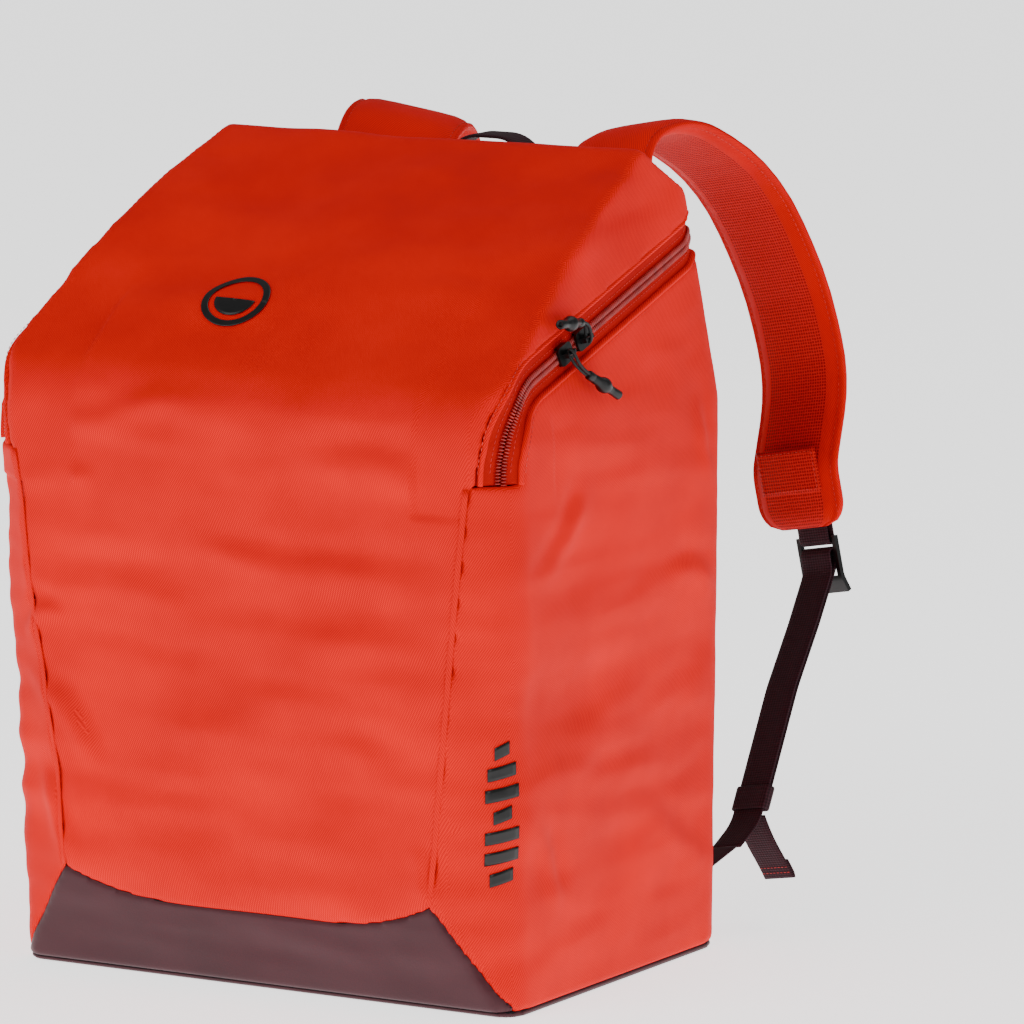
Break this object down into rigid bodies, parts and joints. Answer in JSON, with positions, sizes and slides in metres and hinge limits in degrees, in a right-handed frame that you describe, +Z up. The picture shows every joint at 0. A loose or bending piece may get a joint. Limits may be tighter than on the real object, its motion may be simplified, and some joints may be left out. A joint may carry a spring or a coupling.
{
  "type": "ski boot backpack",
  "caption": "Red ski boot and helmet backpack with a zipped clamshell lid, dark maroon base guard and haul loop, and padded shoulder straps.",
  "frame": {"origin": "middle of the flat base, on the surface that the bag stands on", "axes": "+Z up; -Y out of the front panel; +Y towards the wearer's back and the shoulder straps; +X towards the side that carries the zip sliders"},
  "size_m": [0.3752, 0.432, 0.4886],
  "materials": {
    "shell_fabric": "matte",
    "guard_fabric": "satin",
    "webbing": "matte",
    "liner_mesh": "matte",
    "zip_tape": "matte",
    "zip_coil": "satin",
    "back_mesh": "matte",
    "foam": "matte",
    "black_metal": "satin",
    "black_plastic": "satin",
    "cord": "matte",
    "board": "matte"
  },
  "bodies": {
    "bag": {"base_panel": "guard_fabric", "front_guard": "guard_fabric", "front_panel": "shell_fabric", "back_panel": "shell_fabric", "right_side_panel": "shell_fabric", "left_side_panel": "shell_fabric", "bag_zip_tape": "zip_tape", "bag_zip_coil": "zip_coil", "base_board": "board", "back_stiffener": "board", "strap_yoke": "shell_fabric", "right_back_pad": "back_mesh", "left_back_pad": "back_mesh", "lumbar_pad": "back_mesh", "haul_loop_feet": "webbing", "right_strap_root": "shell_fabric", "left_strap_root": "shell_fabric", "right_strap_anchor": "webbing", "left_strap_anchor": "webbing"},
    "lid": {"lid_top_panel": "shell_fabric", "lid_back_gusset": "shell_fabric", "lid_right_gusset": "shell_fabric", "lid_left_gusset": "shell_fabric", "lid_zip_tape": "zip_tape", "lid_zip_coil": "zip_coil"},
    "upper_slider": {"upper_slider": "black_metal"},
    "lower_slider": {"lower_slider": "black_metal"},
    "upper_pull": {"upper_pull_cord": "cord", "upper_pull_grip": "black_plastic"},
    "lower_pull": {"lower_pull_cord": "cord", "lower_pull_grip": "black_plastic"},
    "haul_loop": {"haul_loop": "webbing"},
    "right_strap": {"right_pad_foam": "foam", "right_pad_cover": "shell_fabric", "right_pad_liner": "liner_mesh", "right_pad_patch": "liner_mesh", "right_buckle_tape": "webbing", "right_adjuster_webbing": "webbing", "right_keeper": "webbing"},
    "right_buckle": {"right_ladder_lock": "black_plastic"},
    "right_tail": {"right_webbing_tail": "webbing"},
    "left_strap": {"left_pad_foam": "foam", "left_pad_cover": "shell_fabric", "left_pad_liner": "liner_mesh", "left_pad_patch": "liner_mesh", "left_buckle_tape": "webbing", "left_adjuster_webbing": "webbing", "left_keeper": "webbing"},
    "left_buckle": {"left_ladder_lock": "black_plastic"},
    "left_tail": {"left_webbing_tail": "webbing"}
  },
  "joints": [
    {"name": "lid_hinge", "type": "hinge", "parent": "bag", "child": "lid", "pos_m": [0, -0.135, 0.309], "axis": [1, 0, 0], "range_deg": [0, 140]},
    {"name": "upper_slider_slide", "type": "slide", "parent": "bag", "child": "upper_slider", "axis": [-0.0516, 0.9623, 0.2669], "range_m": [0, 0.13]},
    {"name": "lower_slider_slide", "type": "slide", "parent": "bag", "child": "lower_slider", "axis": [-0.0516, 0.9623, 0.2669], "range_m": [-0.024, 0]},
    {"name": "upper_pull_swing", "type": "hinge", "parent": "upper_slider", "child": "upper_pull", "pos_m": [0.16648, -0.027, 0.38315], "axis": [-0.0516, 0.9623, 0.2669], "range_deg": [0, 120]},
    {"name": "lower_pull_swing", "type": "hinge", "parent": "lower_slider", "child": "lower_pull", "pos_m": [0.16766, -0.049, 0.37705], "axis": [0.0516, -0.9623, -0.2669], "range_deg": [0, 120]},
    {"name": "haul_loop_fold", "type": "hinge", "parent": "bag", "child": "haul_loop", "pos_m": [0, 0.1495, 0.425], "axis": [-1, 0, 0], "range_deg": [-4, 65]},
    {"name": "right_strap_swing", "type": "hinge", "parent": "bag", "child": "right_strap", "pos_m": [0.082, 0.137, 0.402], "axis": [-0.1993, -0.0028, 0.9799], "range_deg": [-3, 12]},
    {"name": "right_buckle_tilt", "type": "hinge", "parent": "right_strap", "child": "right_buckle", "pos_m": [0.15631, 0.2689, 0.22257], "axis": [0.9433, -0.2715, 0.1911], "range_deg": [-4, 4]},
    {"name": "right_tail_swing", "type": "hinge", "parent": "right_strap", "child": "right_tail", "pos_m": [0.16107, 0.17714, 0.0687], "axis": [0.9433, -0.2715, 0.1911], "range_deg": [-25, 60]},
    {"name": "left_strap_swing", "type": "hinge", "parent": "bag", "child": "left_strap", "pos_m": [-0.082, 0.137, 0.402], "axis": [-0.1993, 0.0028, -0.9799], "range_deg": [-3, 12]},
    {"name": "left_buckle_tilt", "type": "hinge", "parent": "left_strap", "child": "left_buckle", "pos_m": [-0.15631, 0.2689, 0.22257], "axis": [0.9433, 0.2715, -0.1911], "range_deg": [-4, 4]},
    {"name": "left_tail_swing", "type": "hinge", "parent": "left_strap", "child": "left_tail", "pos_m": [-0.16107, 0.17714, 0.0687], "axis": [0.9433, 0.2715, -0.1911], "range_deg": [-25, 60]}
  ]
}
